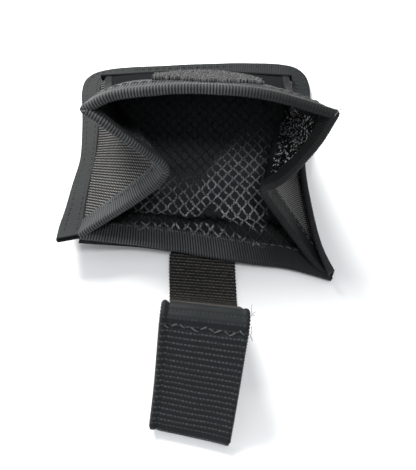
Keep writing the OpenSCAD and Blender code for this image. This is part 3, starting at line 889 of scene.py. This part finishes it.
WEB_L = Path([(-9.8, 6, 2.6), (-9.8, 0, 1.8), (-9.6, -6, 1.0), (-9.2, -13, 1.4), (-8.6, -16.8, 6),
              (-8, -20.6, 15.5), (-7.5, -24, 23), (-7.2, -26.6, 28.4)])
WEB_R = Path([(15.2, 4, 2.0), (15.2, -2, 1.6), (15.4, -8, 1.0), (15.6, -15.4, 1.4), (15.8, -19.2, 6),
              (16.2, -23.2, 15.5), (16.5, -26.8, 23), (16.6, -29.6, 28.4)])
TAB_L = Path([(-9.6, -27.8, 29.6), (-9.7, -29.2, 32.6), (-9.9, -31.6, 32.8), (-11, -40, 25.4),
              (-12.6, -50, 13.4), (-14.6, -60.8, 2.1)])
TAB_R = Path([(18, -31, 29.6), (18, -32.4, 32.6), (18, -34.8, 32.8), (16.4, -44.4, 25),
              (14.4, -55, 13.2), (12.1, -66.3, 2.1)])
TAB_LENGTH = TAB_L.length
TAB_TOP = 3.0                   # mm of the tab's tape behind its top fold


def tab_relief(x, y):
    """Rows of floats, a rolled hem at the top, a raised selvedge at the left and a ridge at the end."""
    rows = 0.2 * wave(y / TAB_ROW) ** 0.6 - 0.1
    y_front = y - TAB_TOP
    hem = 0.3 * hill(y_front, 0.6, 0.9) - 0.3 * hill(y_front, 2.4, 0.5) + 0.2 * hill(y_front, 4, 2)
    stitch = -0.35 * hill(y_front, 6.6, 0.7)
    selvedge = 0.5 * hill(x, 27.7, 0.8) - 0.35 * hill(x, 26.1, 0.5) + 0.3 * hill(x, 0.9, 0.7)
    end = -0.4 * hill(y, TAB_LENGTH - 2.4, 0.35) + 0.2 * hill(y, TAB_LENGTH - 0.8, 0.8)
    ripple = 0.2 * crumple(x, y, 15, 17)
    return rows * np.clip((y_front - 2.5) / 3, 0.2, 1) + hem + stitch + selvedge + end + ripple


def edge_loops(surface, length, pitch, rise):
    """The weft yarns' small turns along a woven tape's two edges."""
    y = np.arange(0.5, length - 0.5, pitch / 8)
    lines = []
    for edge, sign in ((0.0, -1), (1.0, 1)):
        p, n = surface(edge + 0 * y, y / length), normals(surface, edge + 0 * y, y / length, 0.01)
        out = unit(surface(edge + 0 * y, y / length) - surface(0.5 + 0 * y, y / length))
        reach = 0.3 * wave(y / pitch) - 0.05
        height = rise + 0.3 * np.cos(2 * np.pi * y / pitch + 0.6 * sign)
        lines.append((p + (out * reach[:, None] + n * height[:, None]) * MM, n, 0.3, 0.3))
    return lines


def build_strap():
    webbing = sheet_mesh("strap_web", ruled(WEB_R, WEB_L), (25, 58), WEBBING, -0.6, 0.5, 0.3,
                         relief=lambda x, y: 0.36 * wave(y / WEB_ROW) ** 0.6 - 0.2)
    finish_piece(webbing, "strap", "webbing", "strap_webbing")
    loops = edge_loops(ruled(WEB_R, WEB_L), WEB_L.length, WEB_ROW, 0.0)
    finish_piece(tube_mesh("strap_selvedge", loops, WEB_THREAD, 5), "strap", "webbing")
    under = sheet_mesh("strap_under", ruled(Path([(-9.8, 38, 1.2), (-9.8, 5, 1.2)]),
                                            Path([(15.2, 38, 1.2), (15.2, 5, 1.2)])),
                       (25, 33), WEBBING, -0.5, 0.5, 1.0)
    finish_piece(under, "back", "webbing", "strap_anchor")
    surface = ruled(TAB_R, TAB_L)
    tape = sheet_mesh("tab_face", surface, (TAB_WIDTH, TAB_LENGTH), TAPE, -0.1, 1.2, 0.3, relief=tab_relief)
    finish_piece(tape, "tab", "tape", "tab_tape")
    hook = sheet_mesh("tab_hook_face", surface, (TAB_WIDTH, TAB_LENGTH), HOOK, -1.3, -0.1, 0.7)
    finish_piece(hook, "tab", "hook", "tab_hook")
    rng = np.random.default_rng(60)
    lines = []
    for i in range(11):
        a = 0.04 + i * 0.085 + rng.uniform(-0.01, 0.01)
        b = a + rng.uniform(0.055, 0.085)
        ends = (TAB_TOP + 6.0, TAB_TOP + 7.1) if i % 2 else (TAB_TOP + 7.1, TAB_TOP + 6.0)
        u = np.linspace(a, b, 7)
        v = (np.linspace(*ends, 7) + rng.uniform(-0.4, 0.4)) / TAB_LENGTH
        p, n = surface(u, v), normals(surface, u, v)
        bow = rng.uniform(0.7, 1.15) + 0.35 * np.sin(np.linspace(0, np.pi, 7))
        lines.append((p + n * (bow * MM)[:, None], n, 0.25, 0.22))
    finish_piece(tube_mesh("tab_stitches", lines, TAB_THREAD), "tab", "thread", "tab_thread")
    loops = edge_loops(surface, TAB_LENGTH, TAB_ROW / 2, 0.55)
    finish_piece(tube_mesh("tab_selvedge", loops, DARK_THREAD, 5), "tab", "tape")
    lines = frayed_ends((18, -32.5, 34.4), 61)[:3] + frayed_ends((18, -39, 31), 62)[:3]
    finish_piece(tube_mesh("tab_loose_threads", lines, BRIGHT_THREAD, 4), "tab", "thread")


add_camera()
add_studio()
build_back()
build_gussets()
build_front()
build_strap()
